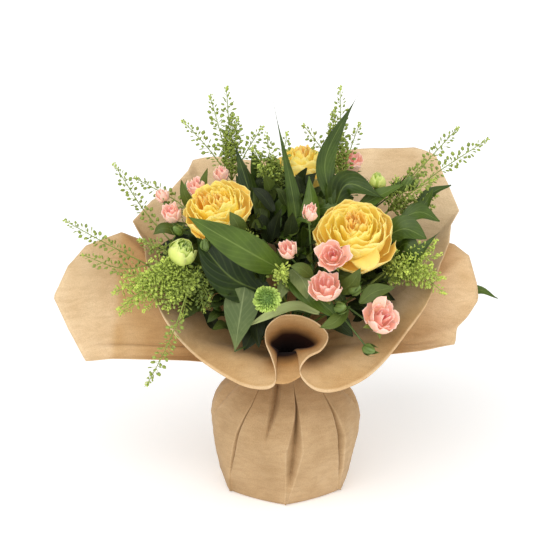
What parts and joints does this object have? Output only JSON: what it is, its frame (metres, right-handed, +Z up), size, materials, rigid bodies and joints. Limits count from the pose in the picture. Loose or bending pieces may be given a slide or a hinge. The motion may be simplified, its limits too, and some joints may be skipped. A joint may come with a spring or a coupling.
{
  "type": "flower bouquet",
  "caption": "Hand-tied mixed bouquet of roses, spray roses and greenery in a flared kraft paper wrap that stands on its water-filled pouch.",
  "frame": {"origin": "on the floor, under the middle of the pouch's flat base", "axes": "+Z up, -Y towards the bouquet's front, where the collar dips and curls; +X to its right seen from the front"},
  "size_m": [0.4268, 0.2719, 0.3849],
  "materials": {
    "kraft_paper": "matt",
    "twine": "matt",
    "water": "clear",
    "yellow_petal": "satin",
    "pink_petal": "satin",
    "cream_petal": "satin",
    "lime_floret": "matt",
    "pennycress_green": "matt",
    "dark_leaf": "satin",
    "stem_green": "satin"
  },
  "bodies": {
    "root": {"wrap_outer_sheet": "kraft_paper", "wrap_inner_sheet": "kraft_paper", "wrap_tie": "twine", "stem_twine": "twine", "rose_right_green": "stem_green", "rose_left_green": "stem_green", "rose_back_green": "stem_green", "button_stem": "stem_green", "leaves_front": "dark_leaf", "leaves_centre": "dark_leaf", "leaves_upper_right": "dark_leaf", "leaves_right": "dark_leaf", "leaves_back": "dark_leaf", "pennycress_upper_left": "pennycress_green", "pennycress_top": "pennycress_green", "pennycress_left": "pennycress_green", "pennycress_far_left": "pennycress_green", "pennycress_low_left": "pennycress_green", "pennycress_right": "pennycress_green", "pennycress_low_right": "pennycress_green", "pennycress_front": "pennycress_green", "pennycress_back": "pennycress_green", "spray_front_green": "stem_green", "spray_left_green": "stem_green", "spray_back_green": "stem_green", "lisianthus_left_green": "stem_green", "lisianthus_right_green": "stem_green", "rose_right_petals": "yellow_petal", "rose_left_petals": "yellow_petal", "rose_back_petals": "yellow_petal", "spray_front_flower_1": "pink_petal", "spray_front_flower_2": "pink_petal", "spray_front_flower_3": "pink_petal", "spray_front_flower_4": "pink_petal", "spray_front_flower_5": "pink_petal", "spray_left_flower_1": "pink_petal", "spray_left_flower_2": "pink_petal", "spray_left_flower_3": "pink_petal", "spray_left_flower_4": "pink_petal", "spray_back_flower_1": "pink_petal", "lisianthus_left_flower_1": "cream_petal", "lisianthus_right_flower_1": "cream_petal", "button_flower": "lime_floret", "leaf_outside": "dark_leaf", "water_bag": "water"}
  },
  "joints": []
}
